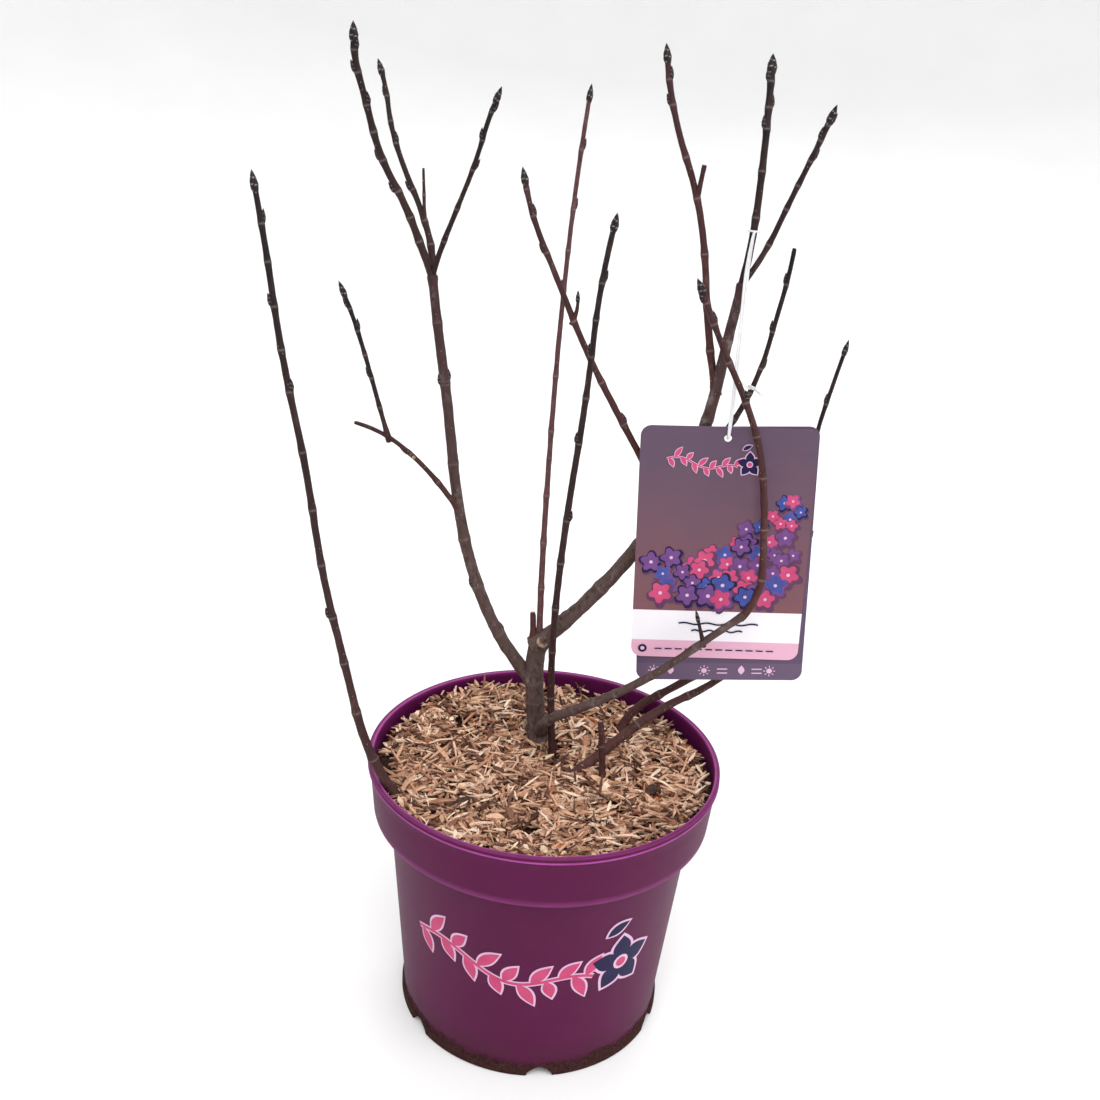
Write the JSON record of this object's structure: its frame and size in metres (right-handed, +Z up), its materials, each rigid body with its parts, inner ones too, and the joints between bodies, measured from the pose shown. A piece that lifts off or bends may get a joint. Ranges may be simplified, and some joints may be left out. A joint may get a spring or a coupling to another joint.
{
  "type": "potted deciduous shrub",
  "caption": "Young bare saskatoon serviceberry in winter: forked stems with slim budded shoots, in a tapered nursery pot with a hang label.",
  "frame": {"origin": "middle of the pot's flat underside, on the pot's axis", "axes": "+Z up along the pot's axis, +X to the right of a viewer who faces the label, +Y away from that viewer"},
  "size_m": [0.2864, 0.1906, 0.5156],
  "materials": {
    "pot_plastic": "satin moulded plastic, magenta purple",
    "chips": "loose bark and wood chips",
    "old_bark": "grey-brown bark with a silvery skin",
    "shoot_bark": "smooth dark red-brown bark with pale pores",
    "twig_bark": "smooth dark red-brown bark with pale pores",
    "label_film": "printed film, half gloss",
    "tie_cord": "soft translucent white plastic"
  },
  "bodies": {
    "root": {"pot": "pot_plastic", "growing_medium": "chips", "trunk": "old_bark", "bough_left": "old_bark", "bough_right": "old_bark", "front_bough_low": "old_bark", "front_bough_high": "shoot_bark", "centre_shoot": "shoot_bark", "left_shoot": "shoot_bark", "front_shoot": "shoot_bark", "low_stem_outer": "shoot_bark", "low_stem_inner": "shoot_bark", "cut_stub": "shoot_bark", "knob_stub": "shoot_bark", "left_crown_twigs": "twig_bark", "left_side_twigs": "twig_bark", "right_crown_twigs": "twig_bark", "right_inner_twigs": "twig_bark", "right_back_twigs": "twig_bark", "crossing_twigs": "twig_bark", "front_spur_twigs": "twig_bark", "label_front": "label_film", "label_back": "label_film", "label_tie": "tie_cord"}
  },
  "joints": []
}
